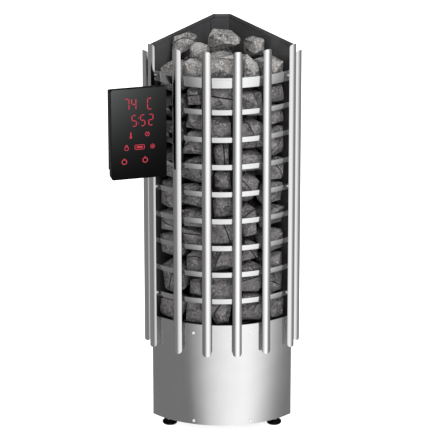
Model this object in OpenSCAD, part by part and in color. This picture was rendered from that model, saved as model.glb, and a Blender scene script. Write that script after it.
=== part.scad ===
// Corner sauna heater: a tall column of stones with a quarter-round front.
// Two painted plates close the corner side, thin steel bands hold the stones in,
// upright half-oval bars stand in front of the bands, and a control panel is
// clamped to one of the bars. The origin is under the centre of the rear foot.

/* [Body] */
// Outer radius of the quarter-round front
front_r = 233; // [225:1:245]
// Half of the angle that the casing and bands span
half_angle = 47.5; // [46.5:0.5:48.5]
// Distance from the rear foot back to the axis of the round front
foot_to_axis = 52; // [48:1:58]
// Width of the flat strip in the rear corner
rear_w = 42; // [38:1:52]
// Gap between the floor and the casing
floor_gap = 18; // [17:1:24]
// Thickness of the corner plates and the base
plate_t = 2; // [1.5:0.1:2.5]
// Height of the corner plates at their front edges
side_top = 984; // [976:1:996]
// Height of the corner plates at the rear strip
rear_top = 1014; // [1006:1:1030]
// Height of the folded hem along the top of the corner plates
hem_h = 6; // [4:0.5:9]
// Thickness of that hem
hem_t = 4.5; // [3.5:0.5:6]
// Width of the flange at the front edge of each corner plate
flange_w = 9; // [7:0.5:9.5]

/* [Casing] */
// Height of the lower casing
casing_h = 268; // [250:1:290]
// Thickness of the casing and the bands
sheet_t = 1.5; // [1:0.1:1.8]
// Width of the lip that turns in at the casing's upper edge
lip_w = 5; // [4:0.5:5]
// Sideways distance from the middle to the casing screws
screw_x = 70; // [50:1:90]
// Distance of the lower casing screws from the casing's bottom edge
screw_low = 9; // [8:0.5:11]
// Distance of the upper casing screws from the casing's top edge
screw_high = 24; // [20:1:28]
// Diameter of a casing screw's head
screw_head_d = 7; // [5:0.5:9]
// Diameter of a casing screw's shank
screw_d = 4; // [3:0.5:5]

/* [Bands] */
// Number of thin bands above the casing
band_count = 8; // [8]
// Distance from one band to the next
band_pitch = 69.4; // [66:0.2:70]
// Height of a thin band
band_h = 13; // [10:0.5:16]
// Height of the top band
top_band_h = 25.5; // [22:0.5:30]
// Distance from the last thin band's top edge to the top band's top edge
top_band_step = 80; // [78:1:88]
// Width of the bare plate on the top band
name_plate_w = 46; // [36:1:50]
// Height of the bare plate
name_plate_h = 15; // [12:0.5:18]

/* [Bars] */
// Angle from one bar to the next
bar_angle = 17.6; // [17.2:0.05:17.7]
// Width of a bar
bar_w = 22.5; // [20:0.5:24]
// Depth of a bar's half-oval section
bar_d = 6; // [5:0.5:7.5]
// Wall thickness of a bar
bar_t = 1.2; // [1:0.1:1.5]
// Length of the six front bars
bar_l = 782; // [765:1:795]
// Length of the two outer bars
outer_bar_l = 753; // [740:1:765]
// Height of the bars' lower ends above the floor
bar_z = 208; // [200:1:220]
// Corner radius of a bar's ends
bar_end_r = 8; // [6:0.5:9]
// Gap between a bar's open back and the bands
bar_gap = 10.6; // [9:0.1:13]
// Angle from the front to the middle of an outer bar
outer_bar_angle = 54.48; // [54.2:0.02:55]
// Distance of an outer bar's middle inside the radius of the round front
outer_bar_in = 7.05; // [5:0.05:8]
// Angle by which an outer bar is turned away from the front
outer_bar_turn = 48; // [46:1:54]
// Outer diameter of a bar's spacer tube
spacer_d = 10; // [8:0.5:12]
// Diameter of a bar's welded stud
stud_d = 4; // [3:0.5:5]

/* [Stone chamber] */
// Depth of the stone shelf below the casing's top edge
shelf_drop = 8; // [6:1:12]
// Thickness of the stone shelf
shelf_t = 2; // [1.5:0.5:3]
// Distance from the round front in to the heating elements
element_in = 79; // [77:1:81]
// Diameter of a heating element's sheath
element_d = 8; // [7:0.5:8.5]
// Distance between the two legs of one element
element_legs = 44; // [38:1:50]
// Angle from one element to the next
element_angle = 30; // [28:0.5:31]
// Height of the elements' upper ends above the shelf
element_h = 590; // [520:5:620]
// Radial depth of the front row of stones
stone_front_d = 66; // [60:1:68]
// Radial depth of the middle row of stones
stone_middle_d = 62; // [54:1:66]
// Clearance between a stone and its neighbours
stone_gap = 0.2; // [0.2:0.05:0.4]
// Number of stones on top of each other in a front column
stone_levels = 10; // [9:1:12]

/* [Feet] */
// Diameter of a foot's pad
pad_d = 37; // [32:1:40]
// Height of a foot's pad
pad_h = 10; // [8:0.5:10]
// Diameter of a foot's threaded stud
foot_stud_d = 10; // [8:0.5:12]
// Distance from the round front in to the middle of a front foot
foot_in = 17.5; // [17:0.1:26]
// Angle from the front to a front foot
foot_angle = 37.1; // [35:0.1:39]
// Height of a foot's adjusting nut
adjusting_nut_h = 5.5; // [5:0.5:6.5]
// Running clearance round a foot's stud
thread_gap = 0.05; // [0.02:0.01:0.08]

/* [Wiring] */
// Width of the wiring box
box_w = 150; // [140:2:160]
// Depth of the wiring box
box_d = 62; // [58:1:66]
// Height of the wiring box
box_h = 84; // [78:1:96]
// Diameter of the cable gland's bore
gland_bore = 14; // [12:0.5:16]
// Diameter of the temperature sensor's bulb
bulb_d = 6; // [5:0.5:7]
// Length of the temperature sensor's bulb
bulb_l = 80; // [60:5:100]
// Diameter of the reset button
reset_d = 8; // [6:0.5:10]
// Running clearance round the reset button
reset_gap = 0.08; // [0.05:0.01:0.1]

/* [Control panel] */
// Width of the control panel
panel_w = 136; // [130:1:140]
// Height of the control panel
panel_h = 227; // [220:1:235]
// Thickness of the panel with its front glass
panel_t = 36; // [32:1:40]
// Thickness of the panel along its lower edge
panel_low_t = 26; // [22:1:28]
// Height of that thinner lower part
panel_low_h = 17; // [12:1:20]
// Thickness of the panel's front glass
glass_t = 4; // [3:0.5:5]
// Corner radius of the panel
panel_r = 6; // [4:0.5:9]
// Wall thickness of the panel's housing
panel_wall = 2; // [1.5:0.1:2.5]
// Sideways distance from the bar that carries the panel to the middle of its face
panel_left = 24.7; // [20:0.1:28]
// Distance of the middle of the panel's face in front of that bar
panel_out = 77.5; // [74:0.1:84]
// Height of the panel's middle above the floor
panel_z = 790.5; // [770:0.5:810]
// Angle by which the panel is turned to the right
panel_turn = 15; // [12:0.5:17]
// Distance between the two clamps that hold the panel
clamp_spacing = 90; // [80:2:110]

/* [Hidden] */
$fn = 64;

// Plan of the corner, about the axis of the round front
corner_tip = front_r * (sin(half_angle) - cos(half_angle));
rear_y = corner_tip - rear_w / 2;
plate_l = (front_r * sin(half_angle) - rear_w / 2) * sqrt(2);
inner_r = front_r - sheet_t;
flange_angle = flange_w / inner_r * 180 / PI;

// Two holes in the rear strip for the wall screws
wall_hole_d = 7;
wall_hole_z = [340, 940];

// Rear strip: its flanges end below the hem, and its ledge carries the stone shelf
flange_drop = 4;
ledge_w = 28;
ledge_d = 12;

// Heights above the floor
base_top = floor_gap + plate_t;
casing_top = floor_gap + casing_h;
shelf_top = casing_top - shelf_drop;
shelf_under = shelf_top - shelf_t;
top_band_z = casing_top + band_count * band_pitch + top_band_step - top_band_h;
screw_z = [floor_gap + screw_low, casing_top - screw_high];
rim_t = 2;
rim_gap = 0.1;
edge_step = 0.3;
flange_bury = 0.2;
rim_r = inner_r - rim_gap;
rim_angle = half_angle - flange_angle - 1;
base_rim_h = screw_low + 7;
shelf_rim_h = screw_high - shelf_drop + 7;
screw_angle = asin(screw_x / front_r);
hole_reach = 20;

// Air slots in the base and the shelf
vent_x = 70;
vent_y = front_r - 28;
vent_l = 50;
vent_w = 5;
vent_step = 12;
slot_w = 6;
slot_in = [30, 46];
slot_behind = [26, 42, 58];
slot_rear = 92;

// Bars: radius of the section's arc, which runs on past the cut edges, and where its open back stands
bar_edge = 0.4;
bar_arc_r = (pow(bar_w / 2 + bar_edge, 2) + pow(bar_d, 2)) / (2 * bar_d);
bar_back_r = front_r + bar_gap;
bar_angles = [for (i = [-2.5 : 2.5]) i * bar_angle];
outer_bar_r = front_r - outer_bar_in;
outer_bar_x = outer_bar_r * sin(outer_bar_angle);
outer_bar_y = outer_bar_r * cos(outer_bar_angle);
stud_bands = [1, 5];
stud_heights = [
    for (i = stud_bands) casing_top + i * band_pitch - band_h / 2,
    top_band_z + top_band_h / 2,
];
stud_gap = 0.1;
wall_gap = 0.08;
seat_gap = 0.02;
nut_rise = 0.05;
nut_t = 3;
nut_flats = 7;
bracket_t = 2;
bracket_h = 16;
bracket_back = 4;
bracket_past = 12;
bracket_foot = 22;

// From an outer face of a carrier to the bar's inner wall, for the spacers and the studs
function wall_at(x) = sqrt(pow(bar_arc_r - bar_t, 2) - x * x) - bar_arc_r + bar_d;
spacer_reach = wall_at(spacer_d / 2) - wall_gap;
stud_reach = wall_at(stud_d / 2) - wall_gap;

// Heating elements
element_r = front_r - element_in;
element_angles = [-element_angle, 0, element_angle];
pin_d = 4;
pin_l = 16;
sheath_below = 24;
gland_ring_d = 15;
gland_ring_h = 6;
element_gap = 0.05;
element_top = shelf_top + element_h;

// Stones: rows of columns, from the bands back to the corner
stone_r = inner_r - nut_t - 1;
element_room = 3;
middle_r = element_r - element_d / 2 - element_room;
back_r = middle_r - stone_middle_d - 2;
rear_room = 18.373;
row_top = top_band_z + top_band_h;
heap_front = [24, 35, 43, 44, 35];
heap_middle = [23, 33, 10];
heap_back = [30];
row_sway = 3.5;
sway_turn = 186.4;

// Feet
foot_x = (front_r - foot_in) * sin(foot_angle);
foot_y = (front_r - foot_in) * cos(foot_angle);
foot_places = [[-foot_x, -foot_y], [foot_x, -foot_y], [0, -foot_to_axis]];
bush_h = 8;
bush_d = foot_stud_d + 8;
nut_room = 0.3;
nut_across = foot_stud_d + 7;
pad_floor = 4;
foot_stud_top = base_top + bush_h + 8;

// Wiring compartment on the base, with the sensor a share of the way from a corner plate to the nearest leg
box_wall = 1.2;
box_out = 66;
box_y = -(foot_to_axis + box_out);
limiter_size = [40, 32, 46];
limiter_x = 42;
reset_travel = 3;
reset_reach = 5;
reset_room = 20;
terminal_size = [66, 24, 26];
terminal_x = -34;
gland_x = -34;
gland_y = box_y - 12;
gland_nut_d = gland_bore + 12;
capillary_d = 2;
sensor_share = 0.577;
sensor_r = element_r;
outer_leg = element_r * [sin(element_angle), -cos(element_angle)]
    + element_legs / 2 * [cos(element_angle), sin(element_angle)];
leg_to_plate = (corner_tip - outer_leg[0] - outer_leg[1]) / sqrt(2);
sensor_angle = 45 + asin((corner_tip / sqrt(2) - sensor_share * leg_to_plate) / sensor_r);
bulb_top = top_band_z - 10;
capillary_bend = 6;
capillary_z = base_top + box_h + 4;

// Control panel and the clamps that hold it
bracket_plate = [82, 150, 3];
arm_h = 10;
arm_w = 14;
jaw_l = 42;
jaw_t = 6;
jaw_h = 26;
rear_jaw_t = 4;
clamp_screw_d = 4;
clamp_screw_x = bar_w / 2 + clamp_screw_d / 2 + 2;
clamp_screw_up = 5;
clamp_head_d = 7;
clamp_nut_t = 3;
clamp_heights = [panel_z - clamp_spacing / 2, panel_z + clamp_spacing / 2];
crest_r = bar_back_r + bar_d;
panel_x = crest_r * sin(bar_angles[0]) - panel_left;
panel_y = crest_r * cos(bar_angles[0]) + panel_out;
board_back = 6;
board_t = 1.6;
pillar_d = 6;
pillar_in = [12, 30];
housing_lip = 12;
housing_drop = 9;

// Moves what is drawn about the axis of the round front into the part's frame
module about_axis() {
    translate([0, foot_to_axis, 0]) children();
}

// Stands children at an angle and radius of the round front, with -Y outwards
module at(angle, radius) {
    rotate([0, 0, angle]) translate([0, -radius, 0]) children();
}

// Curved wall about the axis, symmetric to the front
module arc_wall(r_out, thick, half, high) {
    rotate([0, 0, -90 - half])
        rotate_extrude(angle = 2 * half, $fn = 128)
            translate([r_out - thick, 0]) square([thick, high]);
}

// Plan of the space inside the corner plates, drawn in by an inset
module corner_plan(inset) {
    tip = corner_tip - inset * sqrt(2);
    back = rear_y - inset;
    far = front_r * 1.2;
    polygon([
        [tip - back, back], [far, tip - far], [far, -far],
        [-far, -far], [-far, tip - far], [back - tip, back],
    ]);
}

// Floor or shelf that fills the plan up to the flanges at the corner plates' front edges
module plan_sheet(inset, thick) {
    linear_extrude(thick) intersection() {
        circle(r = rim_r - rim_t - rim_gap, $fn = 128);
        corner_plan(inset);
    }
}

// Upright rim along the round front of a sheet, with the strip that joins it to the sheet
module front_rim(high, thick) {
    rotate([0, 0, -90 - rim_angle]) rotate_extrude(angle = 2 * rim_angle, $fn = 128) polygon([
        [rim_r - 3 * rim_t, 0], [rim_r, 0], [rim_r, high],
        [rim_r - rim_t, high], [rim_r - rim_t, thick], [rim_r - 3 * rim_t, thick],
    ]);
}

// Hole through the round front, seen from outside
module radial_hole(angle, z, d) {
    at(angle, front_r + hole_reach) translate([0, 0, z]) rotate([-90, 0, 0])
        cylinder(d = d, h = 2 * hole_reach);
}

module hex_nut(across, high, bore) {
    difference() {
        cylinder(d = across / cos(30), h = high, $fn = 6);
        translate([0, 0, -1]) cylinder(d = bore, h = high + 2);
    }
}

module casing_screw_holes(z, d) {
    for (side = [-1, 1]) radial_hole(side * screw_angle, z, d);
}

module base_plate() {
    color("dimgray") about_axis() difference() {
        union() {
            translate([0, 0, floor_gap]) plan_sheet(plate_t + rim_gap, plate_t);
            translate([0, 0, floor_gap]) front_rim(base_rim_h, plate_t);
        }
        casing_screw_holes(screw_z[0], screw_d + 2 * element_gap);
        for (p = foot_places) translate([p[0], p[1], floor_gap - 1])
            cylinder(d = foot_stud_d + 1, h = plate_t + 2);
        translate([gland_x, gland_y, floor_gap - 1]) cylinder(d = gland_bore + 4.2, h = plate_t + 2);
        translate([limiter_x, box_y, floor_gap - 1])
            cylinder(d = reset_d + 2 * reset_gap, h = plate_t + 2);
        for (side = [-1, 1], row = [0 : 4])
            translate([side * vent_x - vent_l / 2, row * vent_step - vent_y, floor_gap - 1])
                cube([vent_l, vent_w, plate_t + 2]);
    }
}

module lower_casing() {
    color("silver") about_axis() difference() {
        translate([0, 0, floor_gap]) union() {
            arc_wall(front_r, sheet_t, half_angle, casing_h);
            translate([0, 0, casing_h - sheet_t]) arc_wall(front_r, lip_w, rim_angle, sheet_t);
        }
        for (z = screw_z) casing_screw_holes(z, screw_d + 0.5);
    }
}

// One corner plate with its folded hem, cut back where the casing and the bands end, and its front flange
module corner_plate() {
    edge = [front_r * sin(half_angle), -front_r * cos(half_angle)];
    difference() {
        translate([edge[0], edge[1], 0]) rotate([0, 0, 135]) {
            translate([0, plate_t, 0]) rotate([90, 0, 0]) linear_extrude(plate_t)
                polygon([[0, floor_gap], [plate_l, floor_gap], [plate_l, rear_top], [0, side_top]]);
            translate([0, hem_t, 0]) rotate([90, 0, 0]) linear_extrude(hem_t) polygon([
                [0, side_top - hem_h], [plate_l, rear_top - hem_h],
                [plate_l, rear_top], [0, side_top],
            ]);
        }
        translate([0, 0, floor_gap - 1]) arc_wall(
            front_r + 5, front_r + 5 - rim_r + edge_step, half_angle + 2, top_band_z + top_band_h);
    }
    intersection() {
        translate([0, 0, base_top]) difference() {
            arc_wall(rim_r, rim_t, half_angle - flange_bury, side_top - base_top - 2 * hem_h);
            translate([0, 0, -1]) arc_wall(front_r, front_r / 2, half_angle - flange_angle, side_top);
        }
        translate([0, -front_r, 0]) cube([front_r, front_r, rear_top]);
    }
}

module side_plate_right() {
    color("#2b2b2d") about_axis() corner_plate();
}

module side_plate_left() {
    color("#2b2b2d") about_axis() mirror([1, 0, 0]) corner_plate();
}

// Flat of the rear strip in plan, as wide as the corner plates' rear ends leave it
module rear_flat(t) {
    end = rear_w / 2 - rim_gap * sqrt(2);
    polygon([[-end, rear_y], [end, rear_y], [end - t, rear_y - t], [t - end, rear_y - t]]);
}

// Channel in the rear corner, with a flange inside each corner plate and a ledge under the shelf
module rear_strip() {
    half = corner_tip - (plate_t + rim_gap) * sqrt(2) - rear_y;
    lap = 14;
    wall = plate_t;
    d = lap / sqrt(2);
    k = wall * tan(22.5);
    outline = [
        [0, rear_y], [half, rear_y], [half + d, rear_y - d],
        [half + d - wall / sqrt(2), rear_y - d - wall / sqrt(2)],
        [half - k, rear_y - wall], [0, rear_y - wall],
    ];
    color("#2b2b2d") about_axis() difference() {
        union() {
            translate([0, 0, base_top]) linear_extrude(rear_top - hem_h - base_top - flange_drop)
                for (side = [0, 1]) mirror([side, 0]) polygon(outline);
            translate([0, 0, base_top]) linear_extrude(rear_top - base_top) rear_flat(wall);
            translate([0, 0, rear_top - hem_h]) linear_extrude(hem_h) rear_flat(hem_t);
            translate([-ledge_w / 2, rear_y - wall - ledge_d, shelf_under - rim_gap - wall])
                cube([ledge_w, ledge_d + wall / 2, wall]);
        }
        for (z = wall_hole_z) translate([0, rear_y + 1, z]) rotate([90, 0, 0])
            cylinder(d = wall_hole_d, h = wall + 2);
    }
}

module stone_shelf() {
    color("gray") about_axis() difference() {
        union() {
            translate([0, 0, shelf_under]) plan_sheet(2 * (plate_t + rim_gap), shelf_t);
            translate([0, 0, shelf_top]) mirror([0, 0, 1]) front_rim(shelf_rim_h, shelf_t);
        }
        casing_screw_holes(screw_z[1], screw_d + 2 * element_gap);
        translate([0, 0, shelf_under - 1]) linear_extrude(shelf_t + 2) {
            for (a = element_angles, side = [-1, 1]) rotate(a) translate([side * element_legs / 2, -element_r])
                circle(d = element_d + 0.6);
            for (side = [-1, 1]) rotate(side * sensor_angle) translate([0, -sensor_r]) circle(d = bulb_d + 2);
            for (a = [-32 : 16 : 32], in = slot_in) rotate(a) translate([-18, in - front_r]) square([36, slot_w]);
            for (a = [-24, 0, 24], back = slot_behind) rotate(a) translate([-15, back - element_r]) square([30, slot_w]);
            translate([-12, slot_rear - element_r]) square([24, slot_w]);
        }
    }
}

// Steel band number i above the casing, with its stud holes
module band(i) {
    color("silver") about_axis() difference() {
        translate([0, 0, casing_top + i * band_pitch - band_h])
            arc_wall(front_r, sheet_t, half_angle, band_h);
        for (a = bar_angles, z = stud_heights) radial_hole(a, z, stud_d + 2 * stud_gap);
    }
}

module band_1() { band(1); }
module band_2() { band(2); }
module band_3() { band(3); }
module band_4() { band(4); }
module band_5() { band(5); }
module band_6() { band(6); }
module band_7() { band(7); }
module band_8() { band(8); }

module top_band() {
    color("silver") about_axis() difference() {
        translate([0, 0, top_band_z]) arc_wall(front_r, sheet_t, half_angle, top_band_h);
        for (a = bar_angles) radial_hole(a, stud_heights[2], stud_d + 2 * stud_gap);
    }
}

module name_plate() {
    color("gainsboro") about_axis()
        translate([0, 0, top_band_z + (top_band_h - name_plate_h) / 2])
            arc_wall(front_r + 1 + rim_gap, 1, asin(name_plate_w / 2 / front_r), name_plate_h);
}

// Half-oval shell with rounded ends, its open back on the XZ plane
module bar_shell(len) {
    intersection() {
        linear_extrude(len) intersection() {
            translate([0, bar_arc_r - bar_d]) difference() {
                circle(r = bar_arc_r, $fn = 96);
                circle(r = bar_arc_r - bar_t, $fn = 96);
            }
            translate([-bar_w, -bar_d - 1]) square([2 * bar_w, bar_d + 1]);
        }
        rotate([90, 0, 0]) linear_extrude(2 * bar_d) {
            for (x = [-1, 1], z = [bar_end_r, len - bar_end_r])
                translate([x * (bar_w / 2 - bar_end_r), z]) circle(r = bar_end_r);
            translate([-bar_w / 2, bar_end_r]) square([bar_w, len - 2 * bar_end_r]);
            translate([bar_end_r - bar_w / 2, 0]) square([bar_w - 2 * bar_end_r, len]);
        }
    }
}

module front_bar(i) {
    color("silver") about_axis() at(bar_angles[i], bar_back_r) translate([0, 0, bar_z]) bar_shell(bar_l);
}

// Puts children at the middle of an outer bar's open back
module at_outer_bar(side) {
    translate([side * outer_bar_x, -outer_bar_y, 0]) rotate([0, 0, side * outer_bar_turn]) children();
}

module outer_bar(side) {
    color("silver") about_axis() at_outer_bar(side) translate([0, 0, bar_z]) bar_shell(outer_bar_l);
}

module bar_1() { outer_bar(-1); }
module bar_2() { front_bar(0); }
module bar_3() { front_bar(1); }
module bar_4() { front_bar(2); }
module bar_5() { front_bar(3); }
module bar_6() { front_bar(4); }
module bar_7() { front_bar(5); }
module bar_8() { outer_bar(1); }

// Tube from a bar's carrier to the inside of the bar's wall
module spacer_tube(reach) {
    rotate([90, 0, 0]) difference() {
        cylinder(d = spacer_d, h = reach);
        translate([0, 0, -1]) cylinder(d = stud_d + 2 * stud_gap, h = reach + 2);
    }
}

module bar_spacers() {
    color("silver") about_axis() {
        for (a = bar_angles, z = stud_heights)
            at(a, front_r + seat_gap) translate([0, 0, z]) spacer_tube(bar_gap + spacer_reach - seat_gap);
        for (side = [-1, 1], z = stud_heights)
            at_outer_bar(side) translate([0, bracket_back - seat_gap, z])
                spacer_tube(bracket_back + spacer_reach - seat_gap);
    }
}

// Stud from inside a bar's wall back through its spacer, with a nut behind the carrier
module stud_and_nut(reach, carrier) {
    rotate([90, 0, 0]) translate([0, 0, -carrier - nut_t]) {
        cylinder(d = stud_d, h = reach + carrier + nut_t);
        cylinder(d = nut_flats / cos(30), h = nut_t - seat_gap, $fn = 6);
    }
}

module bar_studs() {
    color("silver") about_axis() {
        for (a = bar_angles, z = stud_heights)
            at(a, front_r) translate([0, 0, z]) stud_and_nut(bar_gap + stud_reach, sheet_t + nut_rise);
        for (side = [-1, 1], z = stud_heights)
            at_outer_bar(side) translate([0, bracket_back, z])
                stud_and_nut(bracket_back + stud_reach, bracket_t);
    }
}

// Bent strip from a corner plate's outer face to the back of an outer bar
module outer_bar_brackets() {
    turn = outer_bar_turn;
    mid = [outer_bar_x, -outer_bar_y] + bracket_back * [-sin(turn), cos(turn)];
    along = [cos(turn), sin(turn)];
    reach = (mid[0] + mid[1] - corner_tip) / (along[0] + along[1]);
    root = mid - reach * along;
    color("silver") about_axis() for (side = [0, 1]) mirror([side, 0, 0]) for (z = stud_heights) {
        difference() {
            translate([0, 0, z - bracket_h / 2]) linear_extrude(bracket_h) intersection() {
                union() {
                    translate(root) rotate(turn) translate([-4, 0]) square([reach + bracket_past, bracket_t]);
                    translate(root) rotate(135) translate([0, -bracket_t]) square([bracket_foot, bracket_t]);
                }
                translate([corner_tip, 0]) rotate(135) translate([-2 * front_r, -2 * front_r]) square([4 * front_r, 2 * front_r]);
            }
            translate([mid[0], mid[1], z]) rotate([0, 0, turn]) rotate([90, 0, 0])
                translate([0, 0, -10]) cylinder(d = stud_d + 2 * stud_gap, h = 20);
        }
    }
}

module casing_screws() {
    color("gainsboro") about_axis() for (side = [-1, 1], z = screw_z)
        at(side * screw_angle, front_r + 0.03) translate([0, 0, z]) rotate([90, 0, 0]) {
            translate([0, 0, -9]) cylinder(d = screw_d, h = 9);
            difference() {
                cylinder(d1 = screw_head_d, d2 = screw_head_d - 2, h = 2.2);
                translate([-screw_head_d / 2, -0.5, 1.4]) cube([screw_head_d, 1, 1]);
            }
        }
}

// Hairpin heating element with its cold ends under the shelf
module heating_element(i) {
    half = element_legs / 2;
    straight = element_h - half - element_d / 2;
    color("#6a6a6c") about_axis() at(element_angles[i], element_r) {
        for (side = [-1, 1]) translate([side * half, 0, shelf_under - sheath_below]) {
            cylinder(d = element_d, h = straight + sheath_below + shelf_t);
            translate([0, 0, -pin_l]) cylinder(d = pin_d, h = pin_l);
        }
        translate([0, 0, shelf_top + straight]) rotate([90, 0, 0])
            rotate_extrude(angle = 180) translate([half, 0]) circle(d = element_d, $fn = 32);
    }
}

module heating_element_1() { heating_element(0); }
module heating_element_2() { heating_element(1); }
module heating_element_3() { heating_element(2); }

module element_glands() {
    color("goldenrod") about_axis() for (a = element_angles, side = [-1, 1])
        at(a, element_r) translate([side * element_legs / 2, 0, 0]) {
            translate([0, 0, shelf_under - gland_ring_h])
                hex_nut(gland_ring_d - 1, gland_ring_h, element_d + 2 * element_gap);
        }
}

// Open-bottomed box over the terminals and the limiter
module wiring_box() {
    color("lightgray") about_axis() translate([-box_w / 2, box_y - box_d / 2, base_top]) difference() {
        cube([box_w, box_d, box_h]);
        translate([box_wall, box_wall, -1]) cube([box_w - 2 * box_wall, box_d - 2 * box_wall, box_h + 1 - box_wall]);
        translate([box_w / 2 + limiter_x + 14, box_d / 2, box_h - 2]) cylinder(d = 6, h = 4);
    }
}

module terminal_block() {
    gap = terminal_size[0] / 5;
    color("ivory") about_axis()
        translate([terminal_x - terminal_size[0] / 2, box_y + 2, base_top + 14]) difference() {
            union() {
                cube(terminal_size);
                translate([3, 6, -14]) cube([terminal_size[0] - 6, 12, 14]);
            }
            for (i = [0 : 4]) translate([(i + 0.5) * gap, terminal_size[1] / 2, terminal_size[2] - 8])
                cylinder(d = 7, h = 9);
        }
}

module limiter() {
    color("white") about_axis() translate([limiter_x, box_y, base_top]) difference() {
        translate([-limiter_size[0] / 2, -limiter_size[1] / 2, 0]) cube(limiter_size);
        translate([0, 0, -1]) cylinder(d = reset_d + 2 * reset_gap, h = 1 + reset_room);
    }
}

// Capillary from the limiter up through the shelf, and its bulb among the stones
module limiter_sensor() {
    start = [limiter_x + 14, box_y];
    foot = sensor_r * [sin(sensor_angle), -cos(sensor_angle)];
    run = norm(foot - start);
    turn = atan2(foot[1] - start[1], foot[0] - start[0]);
    bottom = base_top + limiter_size[2];
    bulb_z = bulb_top - bulb_l;
    color("peru") about_axis() translate([start[0], start[1], 0]) rotate([0, 0, turn]) {
        translate([0, 0, bottom]) cylinder(d = capillary_d, h = capillary_z - capillary_bend - bottom);
        translate([capillary_bend, 0, capillary_z - capillary_bend]) capillary_elbow(90);
        translate([capillary_bend, 0, capillary_z]) rotate([0, 90, 0])
            cylinder(d = capillary_d, h = run - 2 * capillary_bend);
        translate([run - capillary_bend, 0, capillary_z + capillary_bend]) capillary_elbow(270);
        translate([run, 0, capillary_z + capillary_bend])
            cylinder(d = capillary_d, h = bulb_z - capillary_z - capillary_bend);
        translate([run, 0, bulb_z]) cylinder(d = bulb_d, h = bulb_l);
    }
}

// Quarter bend of the capillary in the XZ plane
module capillary_elbow(from) {
    rotate([90, 0, 0]) rotate([0, 0, from])
        rotate_extrude(angle = 90) translate([capillary_bend, 0]) circle(d = capillary_d);
}

// Clip that holds the sensor's bulb to the right corner plate
module sensor_clip() {
    foot = sensor_r * [sin(sensor_angle), -cos(sensor_angle)];
    to_plate = (corner_tip - foot[0] - foot[1]) / sqrt(2) - plate_t - rim_gap;
    color("silver") about_axis() for (z = [bulb_top - bulb_l + 12, bulb_top - 20])
        translate([foot[0], foot[1], z]) rotate([0, 0, 45]) difference() {
            union() {
                cylinder(d = bulb_d + 3, h = 8);
                translate([0, -1, 0]) cube([to_plate, 2, 8]);
                translate([to_plate - 1.5, -9, 0]) cube([1.5, 18, 8]);
            }
            translate([0, 0, -1]) cylinder(d = bulb_d + 2 * element_gap, h = 10);
        }
}

module reset_button() {
    color("red") about_axis() translate([limiter_x, box_y, floor_gap - reset_reach])
        cylinder(d = reset_d, h = reset_reach + plate_t + reset_room - reset_travel - 2);
}

module cable_gland() {
    color("#303030") about_axis() translate([gland_x, gland_y, 0]) difference() {
        union() {
            translate([0, 0, floor_gap - 7]) cylinder(d = gland_nut_d / cos(30), h = 7, $fn = 6);
            translate([0, 0, floor_gap - 1]) cylinder(d = gland_bore + 4, h = plate_t + 6);
            translate([0, 0, base_top]) cylinder(d = gland_nut_d / cos(30), h = 5, $fn = 6);
        }
        translate([0, 0, floor_gap - 8]) cylinder(d = gland_bore, h = plate_t + 16);
    }
}

// Guide bushes on the base, in which the feet's studs slide
module foot_bushes() {
    color("gray") about_axis() for (p = foot_places) translate([p[0], p[1], base_top]) difference() {
        cylinder(d = bush_d, h = bush_h);
        translate([0, 0, -1]) cylinder(d = foot_stud_d + 2 * thread_gap, h = bush_h + 2);
    }
}

module adjusting_nut(i) {
    color("gray") about_axis()
        translate([foot_places[i][0], foot_places[i][1], floor_gap - adjusting_nut_h - nut_room])
            hex_nut(nut_across, adjusting_nut_h, foot_stud_d + 2 * thread_gap);
}

module adjusting_nut_1() { adjusting_nut(0); }
module adjusting_nut_2() { adjusting_nut(1); }
module adjusting_nut_3() { adjusting_nut(2); }

module foot_stud(i) {
    color("silver") about_axis() translate([foot_places[i][0], foot_places[i][1], pad_floor])
        cylinder(d = foot_stud_d, h = foot_stud_top - pad_floor);
}

module foot_stud_1() { foot_stud(0); }
module foot_stud_2() { foot_stud(1); }
module foot_stud_3() { foot_stud(2); }

// Domed pad with a rounded rim and a blind bore for the stud
module foot_pad(i) {
    rim = 4;
    color("#151515") about_axis() translate([foot_places[i][0], foot_places[i][1], 0]) difference() {
        rotate_extrude($fn = 96) union() {
            square([pad_d / 2 - rim, pad_h]);
            translate([0, 1]) square([pad_d / 2 - 1, rim - 1]);
            square([pad_d / 2 - 2, 2]);
            translate([pad_d / 2 - rim, rim]) intersection() {
                circle(r = rim, $fn = 48);
                translate([0, -rim]) square(2 * rim);
            }
            polygon([[0, rim], [pad_d / 2 - rim / 2, rim + rim * sin(60)], [foot_stud_d / 2 + 4, pad_h], [0, pad_h]]);
        }
        translate([0, 0, pad_floor]) cylinder(d = foot_stud_d + 2 * thread_gap, h = pad_h);
    }
}

module foot_pad_1() { foot_pad(0); }
module foot_pad_2() { foot_pad(1); }
module foot_pad_3() { foot_pad(2); }

// Puts children at the middle of the panel's face, with -Y out of the face
module at_panel() {
    translate([panel_x, -panel_y, panel_z]) rotate([0, 0, panel_turn]) children();
}

module rounded_plate(w, h, t, r) {
    rotate([90, 0, 0]) linear_extrude(t) {
        for (x = [-1, 1], z = [-1, 1]) translate([x * (w / 2 - r), z * (h / 2 - r)]) circle(r = r);
        square([w, h - 2 * r], center = true);
        square([w - 2 * r, h], center = true);
    }
}

// Body of the housing, drawn in by an inset: its top slopes down behind a lip, and its lower part is thinner
module housing_form(inset, front) {
    high = panel_h / 2 - inset;
    step = panel_low_h - panel_h / 2 + inset;
    intersection() {
        translate([0, panel_t, 0])
            rounded_plate(panel_w - 2 * inset, 2 * high, panel_t - front, panel_r - inset);
        rotate([90, 0, 90]) linear_extrude(2 * panel_w, center = true) polygon([
            [0, -high], [panel_low_t - inset, -high], [panel_low_t - inset, step],
            [panel_t - inset, step], [panel_t - inset, high - housing_drop], [housing_lip, high], [0, high],
        ]);
    }
}

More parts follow.
